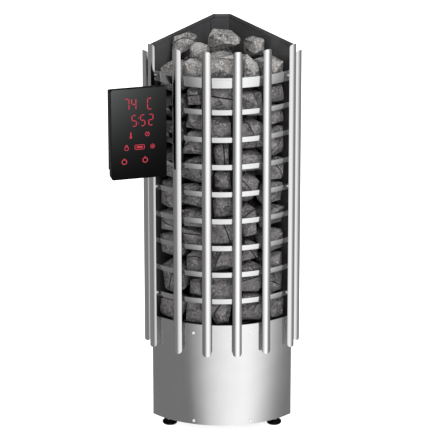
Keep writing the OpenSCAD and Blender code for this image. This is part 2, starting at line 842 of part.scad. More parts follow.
module panel_housing() {
    color("#1c1c1e") about_axis() at_panel() difference() {
        housing_form(0, glass_t);
        housing_form(panel_wall, 0);
    }
}

module panel_glass() {
    color("#0a0a0a") about_axis() at_panel()
        translate([0, glass_t, 0]) rounded_plate(panel_w, panel_h, glass_t, panel_r);
}

module panel_board() {
    color("darkgreen") about_axis() at_panel() {
        translate([0, glass_t + board_back, 0])
            rounded_plate(panel_w - 4 * panel_wall, panel_h - 4 * panel_wall, board_t, panel_r / 2);
        for (x = [-1, 1], z = [-1, 1])
            translate([x * (panel_w / 2 - pillar_in[0]), glass_t + board_back, z * (panel_h / 2 - pillar_in[1])])
                rotate([-90, 0, 0]) cylinder(d = pillar_d, h = panel_t - glass_t - panel_wall - board_back);
    }
}

// Holes of one clamp's two screws, beside the bar and above the arm
module clamp_screw_holes(z) {
    for (side = [-1, 1]) at(bar_angles[0], crest_r + jaw_t + 1)
        translate([side * clamp_screw_x, 0, z + clamp_screw_up]) rotate([-90, 0, 0])
            cylinder(d = clamp_screw_d + 0.4, h = jaw_t + bar_d + rear_jaw_t + 2);
}

// Plate behind the housing with two arms that end in the outer clamp jaws
module panel_bracket() {
    a = bar_angles[0];
    jaw = (crest_r + jaw_t / 2) * [sin(a), -cos(a)];
    along_jaw = [cos(a), sin(a)];
    across = [cos(panel_turn), sin(panel_turn)];
    into = [-sin(panel_turn), cos(panel_turn)];
    back = [panel_x, -panel_y] + panel_t * into;
    slide = (jaw - back) * across;
    root = back + slide * across + bracket_plate[2] / 2 * into;
    color("gray") about_axis() difference() {
        union() {
            at_panel() translate([slide + arm_w / 2 + 2 - bracket_plate[0], panel_t, -bracket_plate[1] / 2])
                cube([bracket_plate[0], bracket_plate[2], bracket_plate[1]]);
            for (z = clamp_heights) {
                translate([0, 0, z - jaw_h / 2]) linear_extrude(arm_h) polygon([
                    root - arm_w / 2 * across, root + arm_w / 2 * across,
                    jaw + arm_w / 2 * along_jaw, jaw - arm_w / 2 * along_jaw,
                ]);
                at(a, crest_r) translate([-jaw_l / 2, -jaw_t, z - jaw_h / 2]) cube([jaw_l, jaw_t, jaw_h]);
            }
        }
        for (z = clamp_heights) clamp_screw_holes(z);
    }
}

module clamp_jaws() {
    color("gray") about_axis() for (z = clamp_heights) difference() {
        at(bar_angles[0], bar_back_r) translate([-jaw_l / 2, 0, z - jaw_h / 2]) cube([jaw_l, rear_jaw_t, jaw_h]);
        clamp_screw_holes(z);
    }
}

// Screws with a head in front of the outer jaw and a nut behind the inner one
module clamp_screws() {
    shank = jaw_t + bar_d + rear_jaw_t + clamp_nut_t;
    color("silver") about_axis() for (z = clamp_heights, side = [-1, 1])
        at(bar_angles[0], crest_r + jaw_t)
            translate([side * clamp_screw_x, 0, z + clamp_screw_up]) rotate([90, 0, 0]) {
                translate([0, 0, -shank]) cylinder(d = clamp_screw_d, h = shank);
                cylinder(d = clamp_head_d, h = 4);
                translate([0, 0, -shank]) cylinder(d = clamp_head_d / cos(30), h = clamp_nut_t, $fn = 6);
            }
}

// Stones lie in columns, and each touches the next one of its column at one point.
// A row is [inner radius, outer radius, half angle, columns, levels, heights above the top band, first column].
row_front = [stone_r - stone_front_d, stone_r, 45.2, 5, stone_levels, heap_front, 0];
row_middle = [middle_r - stone_middle_d, middle_r, 44.5, 3, stone_levels, heap_middle, 10];
row_back = [rear_room - rear_y, back_r, 36, 1, stone_levels + 1, heap_back, 20];

// Stones on top of the heap, each on the last stone of a row's column. A room is [inner and outer distance
// behind the bands, first and last angle, lowest and highest point above the top band].
crown = [
    [row_front, 0, [118, 47, -46.5, -31, 27, 80]],
    [row_front, 1, [88, 28, -27, -9.5, 38, 64]],
    [row_middle, 1, [165, 92, -20, 27, 36, 80]],
    [row_middle, 2, [128, 70, 29, 46, 14, 64]],
];

function pick(seed, low, high) = rands(low, high, 1, seed)[0];

// Stones on top of each other in column c of a row, and the height of the column's top
function levels_of(row, c) = row[4] + (row[6] + 2 * c) % 3 - 1;
function top_of(row, c) = row_top + row[5][c];

// Height of the joint below a level
function joint_z(row, c, level) =
    let (count = levels_of(row, c),
         step = (top_of(row, c) - shelf_top) / count,
         shift = level == 0 || level == count ? 0 : pick((row[6] + c) * 31 + level * 7, -0.17, 0.17))
    shelf_top + (level + shift) * step;

// Angle of the border in front of column c, which sways as it goes up
function border(row, c, z) =
    let (sway = c == 0 || c == row[3] ? 0 : row_sway * sin(sway_turn * z / front_r + 140 * c + 6 * row[6]))
    -row[2] + c * 2 * row[2] / row[3] + sway;

// Point of a room [inner, outer radius, first, last angle, low, high] at u, v, w from -1 to 1
function point_in(room, u, v, w) =
    let (r = (room[0] + room[1]) / 2 + u * (room[1] - room[0]) / 2,
         a = (room[2] + room[3]) / 2 + v * (room[3] - room[2]) / 2,
         z = (room[4] + room[5]) / 2 + w * (room[5] - room[4]) / 2)
    [r * sin(a), -r * cos(a), z];

// Point of a stone's place in its column, across the radius, along the arc and up
function room_point(row, c, level, u, v, w) =
    let (low = joint_z(row, c, level) + stone_gap / 2,
         high = joint_z(row, c, level + 1) - stone_gap / 2,
         z = (low + high) / 2 + w * (high - low) / 2,
         room = [row[0], row[1], border(row, c, z), border(row, c + 1, z), low, high])
    point_in(room, u, v, w);

// Where a stone touches the one below the given joint
function touch(row, c, level) =
    let (s = (row[6] + c) * 57 + level * 13)
    [pick(s + 1, -0.3, 0.3), pick(s + 2, -0.3, 0.3)];

function stone_points(row, c, level) =
    let (s = (row[6] + c) * 101 + level * 17,
         low = touch(row, c, level),
         high = touch(row, c, level + 1))
    concat(
        [for (i = [0 : 7])
            room_point(row, c, level,
                (i % 2 < 1 ? -1 : 1) * pick(s + i * 3 + 11, 0.6, 0.93),
                (i % 4 < 2 ? -1 : 1) * pick(s + i * 3 + 12, 0.55, 0.93),
                (i < 4 ? -1 : 1) * pick(s + i * 3 + 13, 0.5, 0.93))],
        [for (side = [-1, 1])
            room_point(row, c, level, side, pick(s + side + 41, -0.4, 0.4), pick(s + side + 44, -0.4, 0.4))],
        [for (side = [-1, 1])
            room_point(row, c, level, pick(s + side + 51, -0.4, 0.4), side * 0.97, pick(s + side + 54, -0.4, 0.4))],
        [room_point(row, c, level, low[0], low[1], -1), room_point(row, c, level, high[0], high[1], 1)]
    );

// Points of stone number i of the crown, the first one just above the stone that carries it
function crown_points(i) =
    let (row = crown[i][0],
         c = crown[i][1],
         given = crown[i][2],
         room = [stone_r - given[0], stone_r - given[1], given[2], given[3], row_top + given[4], row_top + given[5]],
         count = levels_of(row, c),
         seat = touch(row, c, count),
         s = 900 + 40 * i)
    concat(
        [room_point(row, c, count - 1, seat[0], seat[1], 1) + [0, 0, stone_gap]],
        [for (k = [0 : 7])
            point_in(room,
                (k % 2 < 1 ? -1 : 1) * pick(s + k * 3, 0.6, 0.95),
                (k % 4 < 2 ? -1 : 1) * pick(s + k * 3 + 1, 0.6, 0.95),
                (k < 4 ? -1 : 1) * pick(s + k * 3 + 2, 0.4, 0.95))],
        [for (side = [-1, 1]) point_in(room, side, pick(s + side + 30, -0.3, 0.3), 0)],
        [for (side = [-1, 1]) point_in(room, pick(s + side + 34, -0.3, 0.3), side, -0.1)],
        [point_in(room, pick(s + 37, -0.4, 0.4), pick(s + 38, -0.4, 0.4), 1)]
    );

module solid_stone(points) {
    hull() polyhedron(points, [for (i = [0 : len(points) - 3]) [i, i + 1, i + 2]]);
}

module stone(row, c, level) {
    solid_stone(stone_points(row, c, level));
}

// The stones of a row below the heap
module stone_row(row) {
    for (c = [0 : row[3] - 1], level = [0 : levels_of(row, c) - 2]) stone(row, c, level);
}

module stones_front() { color("#4a4748") about_axis() stone_row(row_front); }
module stones_middle() { color("#4a4748") about_axis() stone_row(row_middle); }
module stones_back() { color("#4a4748") about_axis() stone_row(row_back); }
module stones_top() {
    color("#6b6869") about_axis() {
        for (row = [row_front, row_middle, row_back], c = [0 : row[3] - 1]) stone(row, c, levels_of(row, c) - 1);
        for (i = [0 : len(crown) - 1]) solid_stone(crown_points(i));
    }
}

base_plate();
lower_casing();
side_plate_left();
side_plate_right();
rear_strip();
stone_shelf();
band_1();
band_2();
band_3();
band_4();
band_5();
band_6();
band_7();
band_8();
top_band();
name_plate();
bar_1();
bar_2();
bar_3();
bar_4();
bar_5();
bar_6();
bar_7();
bar_8();
bar_spacers();
bar_studs();
outer_bar_brackets();
casing_screws();
heating_element_1();
heating_element_2();
heating_element_3();
element_glands();
wiring_box();
terminal_block();
limiter();
limiter_sensor();
sensor_clip();
reset_button();
cable_gland();
foot_bushes();
adjusting_nut_1();
adjusting_nut_2();
adjusting_nut_3();
foot_stud_1();
foot_stud_2();
foot_stud_3();
foot_pad_1();
foot_pad_2();
foot_pad_3();
panel_housing();
panel_glass();
panel_board();
panel_bracket();
clamp_jaws();
clamp_screws();
stones_front();
stones_middle();
stones_back();
stones_top();
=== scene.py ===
"""Looks of a corner sauna heater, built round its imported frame.

Lengths are in metres, and MM turns millimetres to metres.
"""

import math
import random

import bmesh
import bpy
from mathutils import Matrix, Vector, noise


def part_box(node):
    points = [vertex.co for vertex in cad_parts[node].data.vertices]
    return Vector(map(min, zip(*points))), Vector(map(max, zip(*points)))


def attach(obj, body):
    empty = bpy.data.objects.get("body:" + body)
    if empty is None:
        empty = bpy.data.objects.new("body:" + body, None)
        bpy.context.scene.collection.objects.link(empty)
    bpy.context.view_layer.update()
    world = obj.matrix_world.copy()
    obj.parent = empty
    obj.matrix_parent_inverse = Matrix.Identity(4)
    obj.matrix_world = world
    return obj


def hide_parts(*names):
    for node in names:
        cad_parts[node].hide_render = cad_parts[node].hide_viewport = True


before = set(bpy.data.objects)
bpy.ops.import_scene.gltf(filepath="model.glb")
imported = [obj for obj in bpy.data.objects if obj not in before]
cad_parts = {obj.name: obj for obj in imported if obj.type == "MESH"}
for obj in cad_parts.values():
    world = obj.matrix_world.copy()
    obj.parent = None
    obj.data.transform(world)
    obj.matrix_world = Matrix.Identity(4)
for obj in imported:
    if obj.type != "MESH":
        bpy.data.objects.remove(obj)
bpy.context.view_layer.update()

# Base plate, stone shelf and wiring box
# Hot-dip galvanised steel sheet, 1.2 to 2 mm thick, with laser-cut air slots and bent rims. Base and
# shelf are screwed to the casing through their rims; the box is spot welded to the base.

MM = 0.001


def linear(colour):
    """Linear red, green, blue and alpha of an sRGB hex colour."""
    parts = [int(colour[i : i + 2], 16) / 255 for i in (1, 3, 5)]
    return [c / 12.92 if c <= 0.04045 else ((c + 0.055) / 1.055) ** 2.4 for c in parts] + [1]


def add_node(owner, kind, settings=(), links=()):
    """Adds a shader node: settings are its options and input values, links join its inputs to outputs."""
    tree = owner.node_tree
    node = tree.nodes.new("ShaderNode" + kind)
    for name, value in dict(settings).items():
        if isinstance(name, str) and hasattr(node, name):
            setattr(node, name, value)
        else:
            node.inputs[name].default_value = value
    for name, socket in dict(links).items():
        tree.links.new(socket, node.inputs[name])
    return node


def start_material(name, colour, metallic, roughness, specular=0.5):
    """A material with its base values, its shader node, and the object's own coordinates."""
    material = bpy.data.materials.new(name)
    material.use_nodes = True
    shader = material.node_tree.nodes["Principled BSDF"]
    shader.inputs["Base Color"].default_value = linear(colour)
    shader.inputs["Metallic"].default_value = metallic
    shader.inputs["Roughness"].default_value = roughness
    shader.inputs["Specular IOR Level"].default_value = specular
    return material, shader, add_node(material, "TexCoord").outputs["Object"]


def mottle(material, shader, factor, dark, light, smooth, rough):
    """Lets a 0 to 1 factor run the colour from dark to light, and the roughness from smooth to rough."""
    links = material.node_tree.links
    mix = add_node(material, "Mix", {"data_type": "RGBA", 6: linear(dark), 7: linear(light)}, {0: factor})
    links.new(mix.outputs[2], shader.inputs["Base Color"])
    sheen = add_node(material, "MapRange", {"To Min": smooth, "To Max": rough}, {"Value": factor})
    links.new(sheen.outputs[0], shader.inputs["Roughness"])


def roughen(material, shader, height, depth, strength=1.0):
    """Raises the surface by a height pattern, depth deep."""
    bump = add_node(material, "Bump", {"Strength": strength, "Distance": depth}, {"Height": height})
    material.node_tree.links.new(bump.outputs[0], shader.inputs["Normal"])


def dress(material, *names):
    """Gives CAD nodes a material."""
    for name in names:
        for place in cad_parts[name].material_slots:
            place.material = material


# Galvanised sheet: frosty zinc crystals about 9 mm across, each its own shade of grey
spangle_size = 9 * MM
galvanised, shader, coords = start_material("galvanised_steel", "#9ea2a4", 1, 0.4)
spangle = add_node(galvanised, "TexVoronoi", {"Scale": 1 / spangle_size}, {"Vector": coords})
mottle(galvanised, shader, spangle.outputs["Color"], "#8b9093", "#b3b7b9", 0.32, 0.5)
dress(galvanised, "base_plate", "stone_shelf", "wiring_box", "foot_bushes")

# Corner plates and rear strip
# Two 2 mm steel plates and a bent channel between them, powder coated satin black. Their upper edges
# are folded over into a hem, and the channel is screwed to the room's corner.

# Powder coat: satin black with the fine orange peel of a baked coat, and faint broad clouds
peel_size, peel_depth = 1.6 * MM, 0.05 * MM
coat_cloud_size = 71.43 * MM
powder_black, shader, coords = start_material("powder_coated_steel", "#1a1a1b", 0, 0.34, 0.2)
peel = add_node(powder_black, "TexNoise", {"Scale": 1 / peel_size, "Detail": 2}, {"Vector": coords})
cloud = add_node(powder_black, "TexNoise", {"Scale": 1 / coat_cloud_size, "Detail": 3}, {"Vector": coords})
mottle(powder_black, shader, cloud.outputs["Fac"], "#161617", "#202021", 0.28, 0.4)
roughen(powder_black, shader, peel.outputs["Fac"], peel_depth)
dress(powder_black, "side_plate_left", "side_plate_right", "rear_strip")

# Inside, a smoother copy of the coat in lighter grey, as painted light, with a dark grey sheen that mirrors
# the stones. It covers the faces that look to the front.
painted_light_patch_size = 60 * MM
facing_front = -0.6
painted_light_coat, shader, coords = start_material("painted_light_coat", "#5e5e60", 0.5, 0.2)
painted_light_patches = add_node(painted_light_coat, "TexNoise", {"Scale": 1 / painted_light_patch_size, "Detail": 3}, {"Vector": coords})
mottle(painted_light_coat, shader, painted_light_patches.outputs["Fac"], "#505052", "#6c6c6e", 0.12, 0.28)
for node in ("side_plate_left", "side_plate_right", "rear_strip"):
    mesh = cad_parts[node].data
    mesh.materials.append(painted_light_coat)
    for face in mesh.polygons:
        if face.normal.y < facing_front:
            face.material_index = len(mesh.materials) - 1

# Lower casing
# A 1.5 mm stainless sheet, bright rolled and bent to the quarter round, with a lip turned in along its
# upper edge. Four screws hold it to the rims of the base and the shelf.

front_r = 233 * MM
axis_y = 52 * MM
half_angle = math.radians(47.5)
sheet_t = 1.5 * MM
edge_r = 0.35 * MM
round_steps = 96


def bent_strip(outline, half, steps, rounding=edge_r):
    """A strip bent about the round front's axis; its outline is given as (radius, height) corners."""
    strip = bmesh.new()
    corners = [strip.verts.new((0, axis_y - radius, height)) for radius, height in outline]
    strip.faces.new(corners)
    bmesh.ops.bevel(
        strip, geom=corners, offset=rounding, segments=2, profile=0.5, affect="VERTICES", material=-1)
    axis = Vector((0, axis_y, 0))
    bmesh.ops.rotate(strip, cent=axis, matrix=Matrix.Rotation(-half, 3, "Z"), verts=strip.verts)
    bmesh.ops.spin(
        strip, geom=strip.verts[:] + strip.edges[:] + strip.faces[:], cent=axis, axis=(0, 0, 1),
        angle=2 * half, steps=steps)
    bmesh.ops.holes_fill(strip, edges=[e for e in strip.edges if e.is_boundary])
    bmesh.ops.recalc_face_normals(strip, faces=strip.faces)
    return strip


def finish_piece(name, form, material, slot, body, *replaced, crease=35, inside=None):
    """Turns a bmesh into a piece that rides on a body and stands for the CAD nodes it replaces.

    Edges that turn more than crease degrees stay sharp, and inside is the material of faces with index 1.
    """
    mesh = bpy.data.meshes.new(name)
    form.to_mesh(mesh)
    form.free()
    mesh.materials.append(material)
    if inside:
        mesh.materials.append(inside)
    mesh.shade_smooth()
    mesh.set_sharp_from_angle(angle=math.radians(crease))
    piece = bpy.data.objects.new(name, mesh)
    bpy.context.scene.collection.objects.link(piece)
    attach(piece, body)
    if replaced:
        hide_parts(*replaced)
    return piece


# Bright rolled stainless sheet: a clean mirror with a soft haze, slightly uneven from the rollers
haze_size, haze_depth, haze_strength = 45 * MM, 0.12 * MM, 0.4
bright_sheet, shader, coords = start_material("stainless_sheet", "#cfcfd0", 1, 0.13)
haze = add_node(bright_sheet, "TexNoise", {"Scale": 1 / haze_size, "Detail": 2}, {"Vector": coords})
mottle(bright_sheet, shader, haze.outputs["Fac"], "#cacacb", "#d4d4d5", 0.1, 0.16)
roughen(bright_sheet, shader, haze.outputs["Fac"], haze_depth, haze_strength)

low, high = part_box("lower_casing")
lip_w = 5 * MM
outline = [
    (front_r, low.z), (front_r, high.z), (front_r - lip_w, high.z), (front_r - lip_w, high.z - sheet_t),
    (front_r - sheet_t, high.z - sheet_t), (front_r - sheet_t, low.z),
]
finish_piece(
    "casing_sheet", bent_strip(outline, half_angle, round_steps), bright_sheet, "stainless", "heater",
    "lower_casing")

# Bands
# Eight narrow strips and one taller top strip of the same stainless sheet, bent to the same round. They
# hold the stones in, and stand off the bars on spacer tubes.

for node in ["band_%d" % i for i in range(1, 9)] + ["top_band"]:
    low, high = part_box(node)
    outline = [
        (front_r, low.z), (front_r, high.z), (front_r - sheet_t, high.z), (front_r - sheet_t, low.z),
    ]
    finish_piece(
        "bent_" + node, bent_strip(outline, half_angle, round_steps), bright_sheet, "stainless",
        "heater", node)

# Bare plate on the top band
# A thin stainless plate with rounded corners, glued to the middle of the top band.

low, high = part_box("name_plate")
glue_t = 0.1 * MM
plate_t = 1 * MM
plate_edge_r = 0.2 * MM
plate_steps = 12
plate_back = front_r + glue_t
plate_face = plate_back + plate_t
outline = [
    (plate_face, low.z), (plate_face, high.z), (plate_back, high.z), (plate_back, low.z),
]
plate_half = math.asin((high.x - low.x) / 2 / (front_r + plate_t))
finish_piece(
    "bare_plate", bent_strip(outline, plate_half, plate_steps, plate_edge_r), bright_sheet, "stainless",
    "heater", "name_plate")

# Bars
# Eight half-oval bars roll-formed from 1.2 mm stainless strip, with round corners at their ends. Each is
# bolted to the bands through three welded studs; the outer two stand on bent brackets.

bar_count = 8
bar_w, bar_d, bar_t = 22.5 * MM, 6 * MM, 1.2 * MM
bar_end_r = 8 * MM
end_steps = 8
# The bow's radius comes from its depth, over a chord a little wider than the strip
bow_spare = 0.4 * MM
bar_bow_r = ((bar_w / 2 + bow_spare) ** 2 + bar_d**2) / (2 * bar_d)
bar_gap = 10.6 * MM
bar_back_r = front_r + bar_gap
bar_step_degrees = 17.6
outer_bar_x, outer_bar_y = 183.9 * MM, -131.27 * MM
outer_bar_degrees = 48
facing_back = 0.3
same_point = 0.001 * MM


def half_oval_bar(length):
    """A bar that stands on the floor, with its open back on the plane y = 0."""
    bar = bmesh.new()
    bmesh.ops.create_grid(bar, x_segments=1, y_segments=1, size=0.5)
    bmesh.ops.scale(bar, vec=(bar_w, length, 1), verts=bar.verts)
    bmesh.ops.rotate(bar, matrix=Matrix.Rotation(math.pi / 2, 3, "X"), verts=bar.verts)
    bmesh.ops.translate(bar, vec=(0, 0, length / 2), verts=bar.verts)
    bmesh.ops.bevel(
        bar, geom=bar.verts[:], offset=bar_end_r, segments=end_steps, profile=0.5, affect="VERTICES",
        material=-1)
    flat_w = bar_w - 2 * bar_end_r
    slices = {round(v.co.x, 7) for v in bar.verts} | {flat_w * k / 8 for k in range(-3, 4)}
    for x in sorted(slices):
        if abs(x) < bar_w / 2 - same_point:
            bmesh.ops.bisect_plane(
                bar, geom=bar.verts[:] + bar.edges[:] + bar.faces[:], plane_co=(x, 0, 0),
                plane_no=(1, 0, 0))
    for v in bar.verts:
        v.co.y = bar_bow_r - bar_d - math.sqrt(bar_bow_r**2 - v.co.x**2)
    bmesh.ops.recalc_face_normals(bar, faces=bar.faces)
    if sum(f.normal.y for f in bar.faces) > 0:
        bmesh.ops.reverse_faces(bar, faces=bar.faces)
    bmesh.ops.solidify(bar, geom=bar.faces[:], thickness=bar_t)
    bmesh.ops.recalc_face_normals(bar, faces=bar.faces)
    # A layer that runs from 1 at the crest to 0 at the edges, for the painted highlight on the crest and
    # the painted shade on the flanks
    painted_crest_light = bar.verts.layers.float.new("painted_crest_light")
    for v in bar.verts:
        v[painted_crest_light] = 1 - abs(v.co.x) / (bar_w / 2)
    for face in bar.faces:
        face.material_index = 1 if face.normal.y > facing_back else 0
    return bar


# Drawn stainless strip: a painted highlight along the crest, which is also a little smoother, and painted
# grey shade on its flanks, with faint lines from the rolls
line_w, line_length, line_share = 0.9 * MM, 1 / 6, 0.12
painted_flank_shade_end, painted_highlight_start = 0.35, 0.9
bright_bar, shader, coords = start_material("stainless_bar", "#d2d2d3", 1, 0.1)
squeeze = add_node(
    bright_bar, "Mapping", {"Scale": (1 / line_w, 1 / line_w, 1 / line_length)}, {"Vector": coords})
lines = add_node(bright_bar, "TexNoise", {"Scale": 1, "Detail": 2}, {"Vector": squeeze.outputs[0]})
across = add_node(bright_bar, "Attribute", {"attribute_name": "painted_crest_light"})
lines_and_painted_crest_light = add_node(
    bright_bar, "Math", {"operation": "MULTIPLY_ADD", 1: line_share},
    {0: lines.outputs["Fac"], 2: across.outputs["Fac"]})
# The crest layer, with the roll lines, runs the colour from painted flank shade up to a painted highlight
lines_and_painted_highlight = add_node(
    bright_bar, "MapRange", {"From Min": painted_flank_shade_end, "From Max": painted_highlight_start}, {"Value": lines_and_painted_crest_light.outputs[0]})
mottle(bright_bar, shader, lines_and_painted_highlight.outputs[0], "#cacacc", "#e2e2e2", 0.12, 0.08)

# Pale matt skin on the inside of the bars and on the heads of the casing's screws: painted light, so that
# the casing mirrors a bright strip beside each bar and the screw heads show as white glints
skin_size = 14 * MM
painted_light_skin, shader, coords = start_material("painted_light_skin", "#e4e4e3", 0.1, 0.6)
skin = add_node(painted_light_skin, "TexNoise", {"Scale": 1 / skin_size, "Detail": 3}, {"Vector": coords})
mottle(painted_light_skin, shader, skin.outputs["Fac"], "#dddddc", "#ececeb", 0.5, 0.7)
dress(painted_light_skin, "casing_screws")

for i in range(bar_count):
    node = "bar_%d" % (i + 1)
    low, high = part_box(node)
    turn = math.radians((i - (bar_count - 1) / 2) * bar_step_degrees)
    if i in (0, bar_count - 1):
        place = Vector((math.copysign(outer_bar_x, turn), axis_y + outer_bar_y, low.z))
        turn = math.copysign(math.radians(outer_bar_degrees), turn)
    else:
        place = Vector((bar_back_r * math.sin(turn), axis_y - bar_back_r * math.cos(turn), low.z))
    bar = half_oval_bar(high.z - low.z)
    bar.transform(Matrix.Translation(place) @ Matrix.Rotation(turn, 4, "Z"))
    finish_piece("half_oval_" + node, bar, bright_bar, "stainless", "heater", node, inside=painted_light_skin)

dress(bright_sheet, "bar_spacers", "outer_bar_brackets", "sensor_clip")

# Studs, screws, nuts and levelling studs
# Zinc-plated steel: the bars' studs and nuts, the clamps' screws, the feet's studs and adjusting nuts.

# Bright zinc plating: pale grey with a faint warm and cool clouding of the passivated layer
cloud_size = 6 * MM
zinc_plated, shader, coords = start_material("zinc_plated_steel", "#b9bbbd", 1, 0.28)
cloud = add_node(zinc_plated, "TexNoise", {"Scale": 1 / cloud_size, "Detail": 3}, {"Vector": coords})
mottle(zinc_plated, shader, cloud.outputs["Fac"], "#b7b4ab", "#bcc2c8", 0.22, 0.36)
dress(zinc_plated, "bar_studs", "clamp_screws")
for i in range(1, 4):
    dress(zinc_plated, "foot_stud_%d" % i, "adjusting_nut_%d" % i)

# Heating elements
# Three hairpins of 8 mm tube in a heat-resistant nickel alloy, pressed round a coiled wire. Brass nuts
# hold their cold ends under the stone shelf.

# Nickel alloy sheath: dark from its factory annealing, with bands of straw and brown along it
tint_size = 60 * MM
alloy_sheath, shader, coords = start_material("annealed_nickel_alloy", "#57514d", 0.85, 0.45)
tint = add_node(alloy_sheath, "TexNoise", {"Scale": 1 / tint_size, "Detail": 4}, {"Vector": coords})
mottle(alloy_sheath, shader, tint.outputs["Fac"], "#3f3c3d", "#6f655a", 0.38, 0.55)
dress(alloy_sheath, "heating_element_1", "heating_element_2", "heating_element_3")

# Turned brass: warm yellow, with the fine rings of the lathe seen as an uneven shine
ring_size = 1.5 * MM
brass, shader, coords = start_material("turned_brass", "#b59450", 1, 0.3)
rings = add_node(brass, "TexNoise", {"Scale": 1 / ring_size, "Detail": 1}, {"Vector": coords})
mottle(brass, shader, rings.outputs["Fac"], "#a88847", "#c0a05c", 0.24, 0.38)
dress(brass, "element_glands")

# Terminal block, limiter with its sensor and reset button, and cable gland
# A steatite block, a white polyamide limiter with a drawn copper capillary and bulb, a red button that
# is pressed from below, and a black polyamide gland, all in or under the wiring box.

# Steatite: unglazed cream ceramic, faintly speckled
speck_size = 1.2 * MM
steatite, shader, coords = start_material("steatite_ceramic", "#ded7c6", 0, 0.55)
speck = add_node(steatite, "TexNoise", {"Scale": 1 / speck_size, "Detail": 3}, {"Vector": coords})
mottle(steatite, shader, speck.outputs["Fac"], "#d3cbb8", "#e6e0d2", 0.5, 0.62)
dress(steatite, "terminal_block")

# Polyamide: white, black or red, with the fine matt texture of a spark-eroded mould, drawn 0.8 mm coarse
# so that it shows
spark_size, spark_depth = 0.8 * MM, 0.06 * MM
for name, colour, dark, light, nodes in (
    ("white_polyamide", "#dededb", "#d8d8d4", "#e4e4e1", ["limiter"]),
    ("black_polyamide", "#1b1b1c", "#161617", "#222223", ["cable_gland"]),
    ("red_polyamide", "#a81c18", "#9c1814", "#b3221d", ["reset_button"]),
):
    polyamide, shader, coords = start_material(name, colour, 0, 0.5)
    spark = add_node(polyamide, "TexNoise", {"Scale": 1 / spark_size, "Detail": 2}, {"Vector": coords})
    mottle(polyamide, shader, spark.outputs["Fac"], dark, light, 0.42, 0.58)
    roughen(polyamide, shader, spark.outputs["Fac"], spark_depth)
    dress(polyamide, *nodes)

# Drawn copper: warm red-brown, dulled in patches by handling
dull_size = 12 * MM
copper, shader, coords = start_material("drawn_copper", "#a8623f", 1, 0.35)
dulled = add_node(copper, "TexNoise", {"Scale": 1 / dull_size, "Detail": 4}, {"Vector": coords})
mottle(copper, shader, dulled.outputs["Fac"], "#8c5137", "#bd744d", 0.28, 0.5)
dress(copper, "limiter_sensor")

# Feet
# Three moulded pads of hard black rubber, pressed on the ends of the levelling studs.

# Moulded rubber: almost black, with a slight shine and a fine matt grain
rubber_grain_size, rubber_grain_depth = 1 * MM, 0.05 * MM
rubber, shader, coords = start_material("moulded_rubber", "#060606", 0, 0.45, 0.08)
grain = add_node(rubber, "TexNoise", {"Scale": 1 / rubber_grain_size, "Detail": 2}, {"Vector": coords})
mottle(rubber, shader, grain.outputs["Fac"], "#030303", "#060606", 0.38, 0.52)
roughen(rubber, shader, grain.outputs["Fac"], rubber_grain_depth)
dress(rubber, "foot_pad_1", "foot_pad_2", "foot_pad_3")

# Stones
# Broken olivine diabase, the usual sauna stone, 4 to 9 cm across: angular grey lumps with a coarse
# crystal grain. They are stacked in rows round the elements and heaped above the top band.

rng = random.Random(17)
crack_w = 1.2 * MM
flat_degrees = 3
edge_wear = 1 * MM
dent_waves = ((30, 2.1, 1), (130, 2, 0.5))
dent_smoothness, dent_octaves = 0.9, 3
dent_depth, dent_sink = 0.9 * MM, 0.9
stone_share, face_share, edge_shades = 0.35, 0.6, (0.3, 0.8)
broken_faces, front_faces = 6, 3
front_scatter = 0.75


def lump(points, cuts):
    """A closed convex stone about some points, with faces broken off by cuts: (point, direction)."""
    stone = bmesh.new()
    for point in points:
        stone.verts.new(point)
    bmesh.ops.convex_hull(stone, input=stone.verts[:])
    for point, direction in cuts:
        bmesh.ops.bisect_plane(
            stone, geom=stone.verts[:] + stone.edges[:] + stone.faces[:], plane_co=point,
            plane_no=direction, clear_outer=True)
        bmesh.ops.holes_fill(stone, edges=[e for e in stone.edges if e.is_boundary])
    return stone


def random_direction():
    """A direction drawn at random."""
    return Vector([rng.uniform(-1, 1) for _ in range(3)]).normalized()


def weather(stone, fineness, facet):
    """Wears a stone's edges and dents its faces, inwards from its own form.

    A layer keeps each face's shade. The dents are the sum of some waves: (waves per metre, step between
    their octaves, share).
    """
    bmesh.ops.dissolve_limit(
        stone, angle_limit=math.radians(flat_degrees), verts=stone.verts[:], edges=stone.edges[:])
    shade = stone.faces.layers.float.new("shade")
    own = rng.random()
    for face in stone.faces:
        face[shade] = stone_share * own + face_share * rng.random()
    worn = bmesh.ops.bevel(
        stone, geom=stone.edges[:], offset=edge_wear, segments=1, profile=0.5, affect="EDGES",
        clamp_overlap=True, material=-1)
    for face in worn["faces"]:
        face[shade] = rng.uniform(*edge_shades)
    bmesh.ops.triangulate(stone, faces=stone.faces[:])
    for _ in range(fineness):
        long_edges = [e for e in stone.edges if e.calc_length() > facet]
        bmesh.ops.subdivide_edges(stone, edges=long_edges, cuts=1)
        bmesh.ops.triangulate(stone, faces=[f for f in stone.faces if len(f.verts) > 3])
    stone.normal_update()
    for v in stone.verts:
        wave = sum(
            share * noise.fractal(v.co * scale, dent_smoothness, step, dent_octaves)
            for scale, step, share in dent_waves)
        v.co += v.normal * dent_depth * (wave - dent_sink)
    bmesh.ops.recalc_face_normals(stone, faces=stone.faces)


